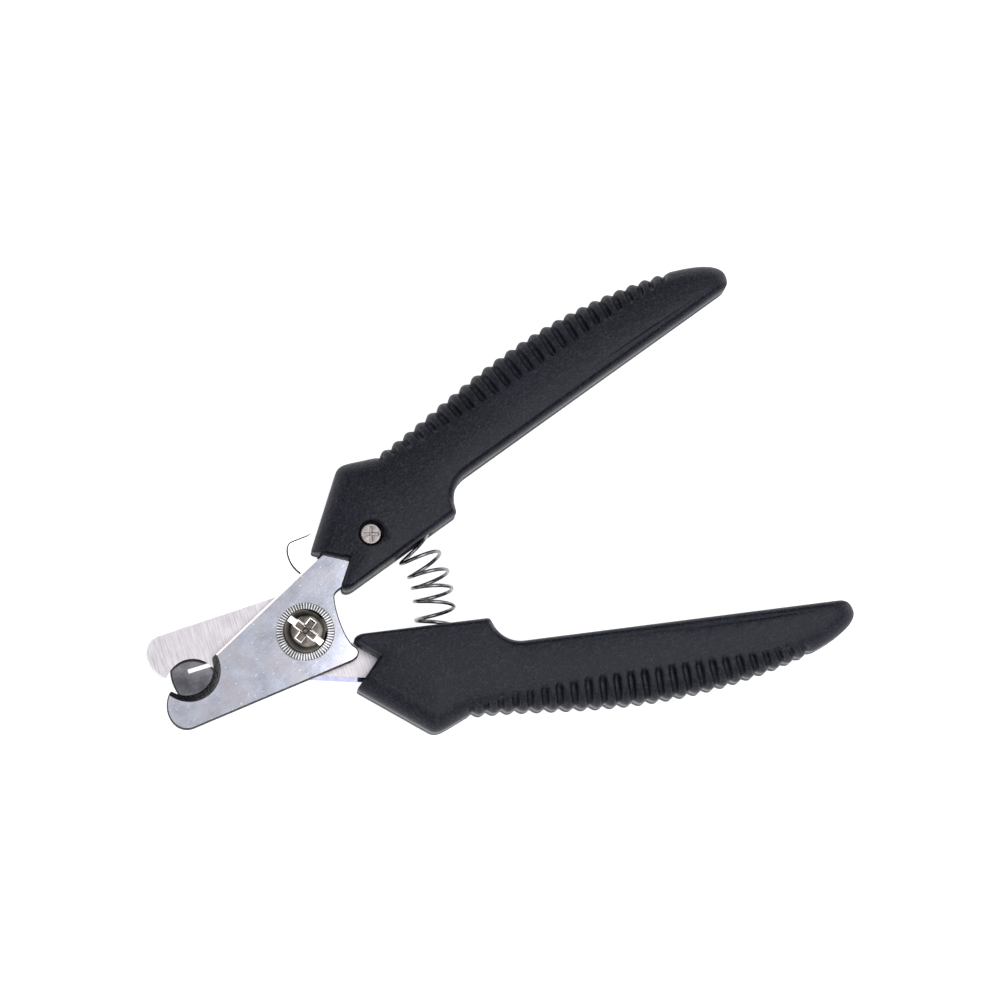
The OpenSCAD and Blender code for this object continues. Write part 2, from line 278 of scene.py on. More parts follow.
def soften(obj, width):
    """Small rounded edges, in millimetres."""
    bevel = obj.modifiers.new("edges", "BEVEL")
    bevel.width = width * MM
    bevel.segments = SOFT_SEGMENTS
    bevel.limit_method = "ANGLE"
    bevel.angle_limit = SOFT_ANGLE
    bevel.harden_normals = True
    bevel.use_clamp_overlap = True


def place(obj, matrix):
    """Moves the mesh itself, so that the object stays at the origin. Distances are in mm."""
    m = matrix.copy()
    m.translation = m.translation * MM
    obj.data.transform(m)
    if m.determinant() < 0:
        obj.data.flip_normals()
    return obj


def in_handle(obj, side, facing):
    """Puts a mesh made at a handle's middle plane into the upper or lower handle."""
    return place(obj, Matrix.Translation((side * HANDLE_SLIDE, 0, MID))
                 @ Matrix.Diagonal((1, side, facing, 1)))


def own_piece(obj, node, body):
    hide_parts(node)
    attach(obj, body)


def turned():
    """Half turn about the X direction on the mid-plane."""
    return (Matrix.Translation((0, 0, MID)) @ Matrix.Rotation(math.pi, 4, "X")
            @ Matrix.Translation((0, 0, -MID)))


# ---------------------------------------------------------------- node helpers
class Nodes:
    """Short way to build a material's node tree."""

    def __init__(self, name):
        self.material = bpy.data.materials.new(name)
        self.material.use_nodes = True
        self.tree = self.material.node_tree
        self.shader = self.tree.nodes["Principled BSDF"]
        coords = self.add("ShaderNodeTexCoord")
        self.place = coords.outputs["Object"]

    def add(self, kind, **values):
        node = self.tree.nodes.new(kind)
        for key, value in values.items():
            if key in node.inputs:
                node.inputs[key].default_value = value
            else:
                setattr(node, key, value)
        return node

    def link(self, source, target):
        self.tree.links.new(source, target)

    def mapped(self, scale, turn=0.0):
        """Object coordinates in millimetres, turned about Z and stretched.

        The scale is one number, or one for each axis."""
        turn_node = self.add("ShaderNodeMapping")
        turn_node.inputs["Rotation"].default_value = (0, 0, turn)
        self.link(self.place, turn_node.inputs["Vector"])
        stretch = self.add("ShaderNodeMapping")
        stretch.inputs["Scale"].default_value = [s / MM for s in np.broadcast_to(scale, 3)]
        self.link(turn_node.outputs["Vector"], stretch.inputs["Vector"])
        return stretch.outputs["Vector"]

    def noise(self, scale, detail=3.0, rough=0.5, turn=0.0, distortion=0.0):
        node = self.add("ShaderNodeTexNoise", Scale=1.0, Detail=detail, Roughness=rough,
                        Distortion=distortion)
        self.link(self.mapped(scale, turn), node.inputs["Vector"])
        return node.outputs["Fac"]

    def ramp(self, source, low, high, at=(0.3, 0.7)):
        """Maps source to colours from low to high between the two positions."""
        node = self.add("ShaderNodeValToRGB")
        node.color_ramp.elements[0].position = at[0]
        node.color_ramp.elements[1].position = at[1]
        node.color_ramp.elements[0].color = (*low, 1)
        node.color_ramp.elements[1].color = (*high, 1)
        self.link(source, node.inputs["Fac"])
        return node.outputs["Color"]

    def span(self, source, low, high, at=(0.3, 0.7)):
        """Maps source from the positions at to the numbers low to high."""
        node = self.add("ShaderNodeMapRange")
        node.inputs["From Min"].default_value = at[0]
        node.inputs["From Max"].default_value = at[1]
        node.inputs["To Min"].default_value = low
        node.inputs["To Max"].default_value = high
        self.link(source, node.inputs["Value"])
        return node.outputs["Result"]

    def mix(self, factor, a, b):
        node = self.add("ShaderNodeMix", data_type="RGBA")
        self.link(factor, node.inputs["Factor"])
        for socket, value in ((node.inputs[6], a), (node.inputs[7], b)):
            if isinstance(value, tuple):
                socket.default_value = (*value, 1)
            else:
                self.link(value, socket)
        return node.outputs[2]

    def math(self, kind, a, b):
        node = self.add("ShaderNodeMath", operation=kind)
        for socket, value in ((node.inputs[0], a), (node.inputs[1], b)):
            if isinstance(value, (int, float)):
                socket.default_value = value
            else:
                self.link(value, socket)
        return node.outputs[0]

    def bumps(self, *layers):
        """Bump from (height, distance in mm) layers, one on the other."""
        normal = None
        for height, distance in layers:
            node = self.add("ShaderNodeBump", Strength=1.0, Distance=distance * MM)
            self.link(height, node.inputs["Height"])
            if normal is not None:
                self.link(normal, node.inputs["Normal"])
            normal = node.outputs["Normal"]
        self.link(normal, self.shader.inputs["Normal"])

    def colour(self, source):
        self.link(source, self.shader.inputs["Base Color"])

    def rough(self, source):
        self.link(source, self.shader.inputs["Roughness"])


FLECK_TONE = (0.80, 0.80, 0.84)


def steel(name, dark, light, rough, cloud=0.12, lines=(0.12, 7.0), lines_turn=0.0,
          line_depth=0.0015, line_tint=0.5, fleck=0.0, second=None, grain_tint=0.03,
          metal=1.0, gloss=0.5):
    """Metal with soft clouds of tone, fine lines along one direction and roughness to match.

    A second colour comes and goes in patches, and flecks are small bright spots."""
    n = Nodes(name)
    n.shader.inputs["Metallic"].default_value = metal
    n.shader.inputs["Specular IOR Level"].default_value = gloss
    clouds = n.noise(cloud, detail=4, rough=0.6)
    streaks = n.noise((lines[0], lines[1], lines[1]), detail=5, rough=0.65, turn=lines_turn)
    grain = n.noise(5, detail=2)
    tone = n.math("ADD", n.math("MULTIPLY", clouds, 1 - line_tint),
                  n.math("MULTIPLY", streaks, line_tint))
    tone = n.math("ADD", tone, n.span(grain, -grain_tint, grain_tint))
    colour = n.ramp(tone, dark, light, at=(0.36, 0.62))
    if second:
        patches = n.noise(0.28, detail=3, rough=0.6, distortion=0.5)
        colour = n.mix(n.span(patches, 0.0, 0.75, at=(0.42, 0.66)), colour, second)
    if fleck:
        spots = n.noise(2.4, detail=1, rough=0.4)
        mask = n.span(spots, 0.0, fleck, at=(0.70, 0.76))
        colour = n.mix(mask, colour, FLECK_TONE)
    n.colour(colour)
    n.rough(n.span(n.math("ADD", n.math("MULTIPLY", streaks, 0.6),
                          n.math("MULTIPLY", grain, 0.4)), rough[0], rough[1]))
    n.bumps((streaks, line_depth), (grain, line_depth * 0.35))
    return n.material


def turned_steel(name, dark, light, rough, rings=9.0):
    """Metal with faint rings about the pivot axis, as left by turning or stamping."""
    n = Nodes(name)
    n.shader.inputs["Metallic"].default_value = 1.0
    wave = n.add("ShaderNodeTexWave", wave_type="RINGS", rings_direction="Z",
                 wave_profile="SIN", Scale=rings)
    wave.inputs["Distortion"].default_value = 1.2
    wave.inputs["Detail"].default_value = 2.0
    wave.inputs["Detail Scale"].default_value = 1.5
    n.link(n.mapped(0.32), wave.inputs["Vector"])
    clouds = n.noise(0.5, detail=4)
    grain = n.noise(6, detail=2)
    n.colour(n.ramp(clouds, dark, light, at=(0.35, 0.65)))
    n.rough(n.span(n.math("ADD", n.math("MULTIPLY", clouds, 0.6),
                          n.math("MULTIPLY", grain, 0.4)), rough[0], rough[1]))
    n.bumps((wave.outputs["Fac"], 0.0012), (grain, 0.0008))
    return n.material


def moulded_plastic(name, gloss):
    """Black moulded plastic with a fine spark-eroded grain and pale specks."""
    n = Nodes(name)
    n.shader.inputs["Specular IOR Level"].default_value = gloss
    grain = n.noise(2.6, detail=3, rough=0.75)
    coarse = n.noise(0.8, detail=3, rough=0.6)
    clouds = n.noise(0.07, detail=3, rough=0.6)
    cells = n.add("ShaderNodeTexVoronoi", Scale=1.0, feature="F1")
    n.link(n.mapped(2.1), cells.inputs["Vector"])
    base = n.ramp(clouds, PLASTIC_DARK, PLASTIC_LIGHT, at=(0.35, 0.68))
    speck = n.math("MULTIPLY", n.span(grain, 0.0, 1.0, at=(0.46, 0.68)),
                   n.span(coarse, 0.35, 1.0, at=(0.35, 0.65)))
    base = n.mix(speck, base, PLASTIC_SPECK)
    n.colour(base)
    n.rough(n.span(n.math("ADD", n.math("MULTIPLY", grain, 0.5),
                          n.math("MULTIPLY", clouds, 0.5)), 0.34, 0.50))
    n.bumps((grain, 0.060), (cells.outputs["Distance"], 0.03), (coarse, 0.08))
    return n.material


PLASTIC_DARK = (0.0026, 0.0032, 0.0076)
PLASTIC_LIGHT = (0.0072, 0.0082, 0.0165)
PLASTIC_SPECK = (0.040, 0.043, 0.064)

BLADE_STEEL = steel("satin_steel", (0.34, 0.348, 0.395), (0.47, 0.485, 0.55), (0.06, 0.10),
                    cloud=0.34, lines=(0.10, 5.0), lines_turn=-math.radians(24),
                    line_depth=0.0003, line_tint=0.18, fleck=0.6, second=(0.45, 0.425, 0.445),
                    grain_tint=0.05)
INNER_STEEL = steel("brushed_steel", (0.43, 0.395, 0.41), (0.73, 0.68, 0.70), (0.32, 0.48),
                    cloud=0.25, lines=(0.22, 4.0), lines_turn=-math.radians(86),
                    line_depth=0.005, line_tint=0.75)
# Painted highlight: the front blade's straight chamfer and edge wall are coloured near white for
# the light they catch.
EDGE_HIGHLIGHT_STEEL = steel("edge_painted_highlight_steel", (0.70, 0.672, 0.68), (0.84, 0.81, 0.82), (0.08, 0.16),
                   cloud=0.8, lines=(0.3, 6.0), lines_turn=-math.radians(24),
                   line_depth=0.0008, line_tint=0.3)
# Painted reflection: the rear blade's straight chamfer and edge wall are tinted lavender blue for
# the bluish light they reflect.
BLUE_REFLECTION_EDGE = steel("edge_painted_blue_reflection", (0.40, 0.41, 0.58), (0.54, 0.55, 0.74), (0.12, 0.22),
                  cloud=0.8, lines=(0.3, 6.0), line_depth=0.0008, line_tint=0.3)
# Painted shade: near-black, barely reflective walls that draw a thin dark line along the outlines
# of the front blade and the guard, where the edges fall into shade.
SHADED_WALL_STEEL = steel("wall_painted_shade_steel", (0.030, 0.029, 0.033), (0.080, 0.078, 0.084),
                      (0.50, 0.70), cloud=1.0, lines=(4.0, 0.4), line_depth=0.008, metal=0.0,
                      gloss=0.1)
# Ground finish of the notch wall, made darker than the blade as painted shade for the shaded
# crescent inside the notch.
GROUND_SHADE_STEEL = steel("ground_finish_painted_shade", (0.20, 0.194, 0.20), (0.40, 0.39, 0.40),
                     (0.16, 0.30), cloud=0.8, lines=(0.3, 6.0), line_depth=0.003)
# Painted highlight: the guard's thumb tab, the same polished steel as the plate, is coloured near
# white for the light it catches.
TAB_HIGHLIGHT_STEEL = steel("tab_painted_highlight_steel", (0.90, 0.90, 0.91), (0.98, 0.98, 0.99), (0.06, 0.12),
                  cloud=0.3, lines=(0.15, 6.0), line_depth=0.0003)
# Painted shade: the guard plate, seen through the blade notch, is coloured dark for the shade it
# lies in under the blades.
GUARD_SHADE_STEEL = steel("guard_steel_painted_shade", (0.09, 0.088, 0.098), (0.24, 0.236, 0.252), (0.06, 0.11),
                    cloud=0.20, lines=(0.15, 6.0), lines_turn=math.radians(10),
                    line_depth=0.0003, line_tint=0.15)
SCREW_STEEL = turned_steel("dark_plated_steel", (0.066, 0.059, 0.052), (0.145, 0.129, 0.113),
                           (0.10, 0.20))
# Painted shade: the pivot screw's cross recess is coloured a little darker than the head for the
# shade inside it.
RECESS_SHADE_STEEL = steel("recess_painted_shade_steel", (0.04, 0.033, 0.027), (0.15, 0.127, 0.104), (0.16, 0.28),
                     cloud=1.2, lines=(0.6, 5.0), line_depth=0.002)
# Bare steel of the cut slot's floor; on the shallow rim around the pivot screw's cross recess the
# same bright colour is a painted highlight on the rim's bevel.
SLOT_AND_RIM_HIGHLIGHT_STEEL = steel("slot_steel_rim_highlight", (0.72, 0.71, 0.69), (0.88, 0.87, 0.85), (0.22, 0.36),
                   cloud=1.0, lines=(0.5, 5.0), line_depth=0.002)
WASHER_STEEL = turned_steel("washer_steel", (0.50, 0.496, 0.50), (0.74, 0.735, 0.74),
                            (0.20, 0.32), rings=14.0)
WIRE_STEEL = steel("drawn_wire", (0.17, 0.17, 0.18), (0.38, 0.38, 0.39), (0.14, 0.26),
                   cloud=0.7, lines=(1.5, 4.0), line_depth=0.0015)
NICKEL = steel("nickel_plate", (0.19, 0.17, 0.158), (0.33, 0.30, 0.283), (0.22, 0.36),
               cloud=1.4, lines=(1.2, 6.0), line_depth=0.0015)
# Painted shade: the handle screws' cross recess is coloured a little darker than the nickel head
# for the shade inside it.
RECESS_SHADE_NICKEL = steel("recess_painted_shade_nickel", (0.15, 0.132, 0.121), (0.33, 0.303, 0.284), (0.22, 0.36),
                      cloud=1.6, lines=(1.2, 6.0), line_depth=0.0015)
ZINC = steel("zinc_plate", (0.50, 0.51, 0.52), (0.68, 0.69, 0.70), (0.24, 0.38),
             cloud=0.9, lines=(0.6, 3.0), line_depth=0.002)
PLASTIC = moulded_plastic("moulded_plastic", 0.30)
# Painted shade: the same black plastic with its gloss cut, used only on the handles' flanks facing
# -Y so that they stay dark instead of reflecting the bright floor.
PLASTIC_SHADED_SIDE = moulded_plastic("plastic_flank_painted_shade", 0.08)


# ---------------------------------------------------------------- handles
RIDGE_WALL = [[22, 24.6], [36, 27.8], [51, 36.9], [76.5, 36.9]]
RIDGE_FACE = [[22.8, 21.3], [37, 24.6], [52, 33.6], [76.5, 33.6]]
TAIL_WALL = [[76.5, 36.9], [85, 36.9], [93.4, 35.6], [93.4, 32.2]]
TAIL_FACE = [[76.5, 33.6], [83, 33.6], [89.9, 33.2], [90.2, 32]]
END_WALL = [[93.4, 32.2], [93.4, 31], [93, 30.1], [91.5, 29.73]]
END_FACE = [[90.2, 32], [90.3, 31.5], [90.3, 31], [89.6, 30.5]]
FILLET_WALL = [[36.5, 15.81], [34, 15.2], [32.7, 13.2], [32.4, 11.4]]
FILLET_FACE = [[36.2, 17], [33.3, 16.3], [31.5, 13.8], [31.2, 11.7]]
PRONG_WALL = [[10.2, 4.12], [8.6, 3.7], [7.6, 4.6], [8.5, 5.7]]
PRONG_FACE = [[10.5, 4.85], [9.7, 4.7], [9, 4.95], [9.3, 5.4]]
BACK_WALL = [[14.6, 24.4], [16, 26.1], [17.5, 25.1], [22, 24.6]]
BACK_FACE = [[16.9, 22.2], [17.4, 22.7], [18.6, 21.8], [22.8, 21.3]]
TIP_WALL, TIP_FACE = [5.4, 13], [8.2, 11.7]
FORK_WALL, FORK_FACE = [11.3, 9.05], [12.12, 9.1]
HEEL_WALL, HEEL_FACE = [32.2, 9.75], [31, 10.6]
TIP_ROUND, FORK_ROUND, HEEL_ROUND = 0.5, 0.4, 0.6
CORNER_POINTS = 5

ROUND_H = 3.0
ROUND_STEPS = 10
ROUND_BLEND = 0.3
GROOVE_X = 22.9
RIB_COUNT = 24
RIB_PITCH = 2.5
RIB_DEPTH = 0.7
RIB_SAMPLES = 14
SLOT_HALF_W = 0.52
SLOT_DEPTH = 1.05
SLOT_WALL = 0.2
SLOT_LONGEST = 5.6
SLOT_SHORTER = 4.3
SLOT_MID_X = 54.0
SLOT_REACH = 30.0
SLOT_SHORTEST = 1.3
SLOT_CLEAR = 0.6
RIB_CROWN = 0.16
RIB_CROWN_FADE = 1.2
PART_LINE = 0.14
FACE_MARGIN = 0.3
FACE_MARGIN_MOST = 3.2
FACE_RINGS = 7
FLANK = -0.25
OUTER_CROWN = 1.5
OUTER_CROWN_REACH = 11.0
INNER_CROWN = 0.35
INNER_CROWN_REACH = 5.0
CAP_STEP = 1.1
NO_RIB = -1000.0


def corner(wall, face, wall_before, wall_after, face_before, face_after, radius):
    """Points that round a corner of both lines alike."""
    out = []
    for p, a, b in ((wall, wall_before, wall_after), (face, face_before, face_after)):
        p = np.array(p, float)
        start = p + radius * unit(np.array(a) - p)
        finish = p + radius * unit(np.array(b) - p)
        t = np.linspace(0, 1, CORNER_POINTS)[:, None]
        out.append((1 - t) ** 2 * start + 2 * t * (1 - t) * p + t ** 2 * finish)
    return list(zip(out[0].tolist(), out[1].tolist()))


def handle_lines():
    """Wall line, face line, and each point's place along the ribs."""
    pairs, place_x = [], []

    def extend(new, x=None):
        pairs.extend(new)
        place_x.extend([NO_RIB] * len(new) if x is None else x)

    def both(wall, face, n, t0=0.0):
        t = t0 + (1 - t0) * np.arange(n) / n
        extend(list(zip(bez(wall, t).tolist(), bez(face, t).tolist())))

    rib_end = GROOVE_X + RIB_COUNT * RIB_PITCH
    extend(corner(TIP_WALL, TIP_FACE, FORK_WALL, BACK_WALL[0], FORK_FACE, BACK_FACE[0],
                  TIP_ROUND))
    both(BACK_WALL, BACK_FACE, 12)
    x = GROOVE_X - RIB_PITCH / 3 + RIB_PITCH / RIB_SAMPLES * np.arange(
        int((RIB_COUNT + 0.7) * RIB_SAMPLES))
    on_ridge = x <= RIDGE_WALL[3][0]
    for wall, face, part in ((RIDGE_WALL, RIDGE_FACE, x[on_ridge]),
                             (TAIL_WALL, TAIL_FACE, x[~on_ridge])):
        t = t_at(wall, part)
        extend(list(zip(bez(wall, t).tolist(), bez(face, t).tolist())), part.tolist())
    both(TAIL_WALL, TAIL_FACE, 18, t_at(TAIL_WALL, rib_end + RIB_PITCH * 0.5))
    both(END_WALL, END_FACE, 10)
    extend([(END_WALL[3], END_FACE[3])])
    both(FILLET_WALL, FILLET_FACE, 12)
    extend([(FILLET_WALL[3], FILLET_FACE[3])])
    extend(corner(HEEL_WALL, HEEL_FACE, FILLET_WALL[3], PRONG_WALL[0],
                  FILLET_FACE[3], PRONG_FACE[0], HEEL_ROUND))
    both(PRONG_WALL, PRONG_FACE, 12)
    extend([(PRONG_WALL[3], PRONG_FACE[3])])
    extend(corner(FORK_WALL, FORK_FACE, PRONG_WALL[3], TIP_WALL, PRONG_FACE[3], TIP_FACE,
                  FORK_ROUND))
    wall = np.array([p[0] for p in pairs])
    face = np.array([p[1] for p in pairs])
    return wall, face, np.array(place_x)


def distance_to(points, line):
    """Shortest distance in plan from each point to a line of points."""
    a, b = line[:-1], line[1:]
    along = b - a
    size = np.maximum((along ** 2).sum(1), 1e-12)
    best = np.full(len(points), np.inf)
    for start, run, square in zip(a, along, size):
        t = np.clip(((points - start) @ run) / square, 0, 1)
        best = np.minimum(best, np.linalg.norm(points - start - t[:, None] * run, axis=1))
    return best


def inside_loop(points, loop):
    """Which points lie inside a closed outline."""
    x, y = points[:, 0], points[:, 1]
    inside = np.zeros(len(points), bool)
    for (x0, y0), (x1, y1) in zip(loop, np.roll(loop, -1, axis=0)):
        if y0 == y1:
            continue
        crosses = (y0 > y) != (y1 > y)
        inside ^= crosses & (x < (x1 - x0) * (y - y0) / (y1 - y0) + x0)
    return inside


def cap_mesh(loop):
    """Grid points inside a flat outline, and triangles over the outline and those points."""
    low, high = loop.min(0), loop.max(0)
    gx, gy = np.meshgrid(np.arange(low[0], high[0], CAP_STEP),
                         np.arange(low[1], high[1], CAP_STEP))
    grid = np.column_stack([gx.ravel(), gy.ravel()])
    grid = grid[inside_loop(grid, loop)]
    closed = np.vstack([loop, loop[:1]])
    grid = grid[distance_to(grid, closed) > 0.5 * CAP_STEP]
    n = len(loop)
    points = [Vector(p) for p in loop.tolist() + grid.tolist()]
    edges = [(i, (i + 1) % n) for i in range(n)]
    made = delaunay_2d_cdt(points, edges, [], 1, 1e-7)
    origin = [ids[0] for ids in made[3]]
    triangles = []
    for face in made[2]:
        t = [origin[i] for i in face]
        a, b, c = (points[i] for i in t)
        area = (b - a).cross(c - a)
        triangles.append(tuple(t) if area > 0 else tuple(reversed(t)))
    return grid, triangles


def crowned(verts, outer, inner):
    """Lets the face fall a little towards the ribs, and less towards the inner edge."""
    plan = verts[:, :2]
    drop = OUTER_CROWN * (1 - np.clip(distance_to(plan, outer) / OUTER_CROWN_REACH, 0, 1)) ** 2
    drop += INNER_CROWN * (1 - np.clip(distance_to(plan, inner) / INNER_CROWN_REACH, 0, 1)) ** 2
    return np.column_stack([plan, verts[:, 2] * (1 - drop / HALF)])


def handle_shell_mesh(name):
    """One half of a handle, its parting face at height 0, with the ribs' slots."""
    wall, face, x = handle_lines()
    ribbed = x != NO_RIB
    span = np.linalg.norm(face - wall, axis=1)
    inward = (face - wall) / span[:, None]
    off = np.where(ribbed, (x - GROOVE_X + RIB_PITCH / 2) % RIB_PITCH - RIB_PITCH / 2,
                   RIB_PITCH)
    inside = (x > GROOVE_X - RIB_PITCH / 2) & (x < GROOVE_X + (RIB_COUNT + 0.5) * RIB_PITCH)
    scallop = np.where(inside & ribbed,
                       RIB_DEPTH * (1 - np.abs(np.sin(np.pi * off / RIB_PITCH))), 0)
    length = SLOT_LONGEST - SLOT_SHORTER * ((x - SLOT_MID_X) / SLOT_REACH) ** 2
    length = np.where(ribbed & inside, np.clip(length, SLOT_SHORTEST, None), 0)

    def sunk(distance, mix):
        """Depth of the ribs' grooves at a distance in from the wall line."""
        beyond = np.maximum(0, distance - (length - SLOT_HALF_W))
        reach = np.hypot(off, beyond)
        slot = 1 - smoothstep(SLOT_HALF_W - SLOT_WALL, SLOT_HALF_W + SLOT_WALL, reach)
        crown = RIB_CROWN * np.cos(np.pi * off / RIB_PITCH) ** 2 * (
            1 - smoothstep(length - RIB_CROWN_FADE, length, distance))
        deep = np.where(length > 0, SLOT_DEPTH * slot + crown, 0)
        return (1 - mix) * scallop + mix * deep

    rings = []

    def ring(flat, height, normal, depth):
        """Adds a ring: points, height, and the groove's depth along the surface normal."""
        moved = flat + inward * (depth * normal[0])[:, None]
        rings.append(np.column_stack([moved, height - depth * normal[1]]))

    level = np.ones(len(wall))
    outward, upward = (level, 0 * level), (0 * level, level)
    ring(wall + PART_LINE * inward, 0 * level, outward, scallop)
    ring(wall, PART_LINE * level, outward, scallop)
    ring(wall, (HALF - ROUND_H) * level, outward, scallop)
    for k in range(1, ROUND_STEPS + 1):
        angle = math.pi / 2 * k / ROUND_STEPS
        share = 1 - math.cos(angle)
        depth = sunk(share * span, smoothstep(0.0, ROUND_BLEND, share))
        ring(wall + share * (face - wall), (HALF - ROUND_H + ROUND_H * math.sin(angle)) * level,
             (math.cos(angle) * level, math.sin(angle) * level), depth)
    extra = np.where(ribbed, np.clip(length + SLOT_CLEAR - span, FACE_MARGIN,
                                     FACE_MARGIN_MOST), FACE_MARGIN)
    for k in range(1, FACE_RINGS + 1):
        step = extra * k / FACE_RINGS
        ring(face + step[:, None] * inward, HALF * level, upward,
             sunk(span + step, 1.0) * (k < FACE_RINGS))
    n = len(wall)
    grid, cap = cap_mesh(rings[-1][:, :2])
    verts = np.vstack(rings + [np.column_stack([grid, np.full(len(grid), HALF)])])
    outer = ribbed | (np.arange(n) < np.argmax(ribbed))
    outer[np.arange(n) <= np.argmax(wall[:, 0])] = True
    verts = crowned(verts, wall[outer], wall[~outer])
    faces = [tuple(reversed(t)) for t in flat_fill(rings[0])]
    faces += band_faces(len(rings), n)
    top = (len(rings) - 1) * n
    faces += [tuple(top + i for i in t) for t in cap]
    shell = object_from(name, verts, faces, [PLASTIC, PLASTIC_SHADED_SIDE], sharp=55)
    # Painted shade: flank faces that face -Y and are not flat take the low-gloss copy of the
    # plastic.
    for face in shell.data.polygons:
        if face.normal.y < FLANK and face.normal.z < FLAT:
            face.material_index = 1
    return shell


POCKET_PLAY = 0.6
POCKET_LIP = 0.25
POCKET_LIP_DEEP = 0.3
TANG_PLAY = 0.06
TANG_OPEN = 6
SHANK_BORE_R = 1.2
RECESS_LIP = ((0, -0.3), (0.05, -0.12), (0.2, 0.01), (0.2, 1))
SCREW_HOLE_R = 1.1
SCREW_HOLE_DEEP = 4.4


def pocket_mouth():
    """Middle of the spring pocket's mouth, on the handle's inner edge."""
    x, y = PRONG_WALL[0]
    return np.array([POCKET_X, y + (POCKET_X - x) * math.tan(INNER_SLOPE)])


def spring_pocket_cutter():
    radius = (SPRING_D + POCKET_PLAY) / 2
    lip = radius + POCKET_LIP
    cutter = revolve("cut_pocket", [(0, -3), (lip, -3), (lip, 0.0), (radius, POCKET_LIP_DEEP),
                                    (radius, POCKET_DEEP), (0, POCKET_DEEP)],
                     [PLASTIC], segments=64)
    at = pocket_mouth()
    return place(cutter, Matrix.Translation((at[0], at[1], 0))
                 @ Matrix.Rotation(INNER_SLOPE, 4, "Z") @ Matrix.Rotation(-math.pi / 2, 4, "X"))


def tang_cutter(side):
    end, top = TANG_LEN + TANG_PLAY, TANG_W + TANG_PLAY
    outline = [tang_at(-TANG_OPEN, -TANG_PLAY), tang_at(TANG_LEN - TANG_CORNER, -TANG_PLAY),
               tang_at(end, TANG_CORNER), tang_at(end, TANG_W - TANG_CORNER),
               tang_at(TANG_LEN - TANG_CORNER, top), tang_at(-TANG_OPEN, top)]
    cutter = stack("cut_tang", [outline, outline], [-1, BLADE_T + GAP / 2], [PLASTIC])
    return place(cutter, Matrix.Translation((-side * HANDLE_SLIDE, 0, 0))
                 @ Matrix.Rotation(-side * BLADE_TURN, 4, "Z"))


def recess_cutter():
    r, bore = RECESS_D / 2, SHANK_BORE_R
    lip = [(r + out, HALF + up) for out, up in RECESS_LIP]
    cutter = revolve("cut_recess", [(0, -1), (bore, -1), (bore, SCREW_SEAT), (r, SCREW_SEAT),
                                    *lip, (0, HALF + 1)], [PLASTIC], segments=96)
    return place(cutter, Matrix.Translation((*SCREW_AT, 0)))


def screw_hole_cutter():
    cutter = rod("cut_hole", SCREW_HOLE_R, -1, SCREW_HOLE_DEEP, PLASTIC, segments=48)
    return place(cutter, Matrix.Translation((*SCREW_AT, 0)))


def make_handles():
    for node, side, facing, body in (
            ("upper_handle_front", 1, 1, "upper_half"),
            ("upper_handle_rear", 1, -1, "upper_half"),
            ("lower_handle_front", -1, 1, "lower_half"),
            ("lower_handle_rear", -1, -1, "lower_half")):
        shell = handle_shell_mesh(node + "_grip")
        if side == facing:
            cutters = [spring_pocket_cutter(), tang_cutter(side), recess_cutter()]
        else:
            cutters = [spring_pocket_cutter(), screw_hole_cutter()]
        carve(shell, cutters, sharp=55)
        in_handle(shell, side, facing)
        own_piece(shell, node, body)


# ---------------------------------------------------------------- blades
NOSE_A = [[-26.4, -1.6], [-27.3, -2.5], [-27.95, -3.8], [-27.95, -5.2]]
NOSE_B = [[-27.95, -5.2], [-27.95, -7.4], [-26.6, -9.05], [-24.3, -8.97]]
LOBE = [[5.6, -7.77], [7.4, -7.7], [8.3, -6.6], [7.2, -5.3]]
REAR_SIDE = [[7.2, -5.3], [6.2, -3.6], [6.3, 1.6], [7.1, 4.1]]
SHOULDER = [[7.1, 4.1], [7.5, 5], [8.4, 4.9], [9.8, 5.45]]
STRAIGHT_LEN = 26.8
TIP_CORNER = [-25.6, -0.9]
TANG_START = 1.6
TANG_HOLE_R = 2.1
BLADE_FLAT = 0.8
STRAIGHT_EDGE = 0.98


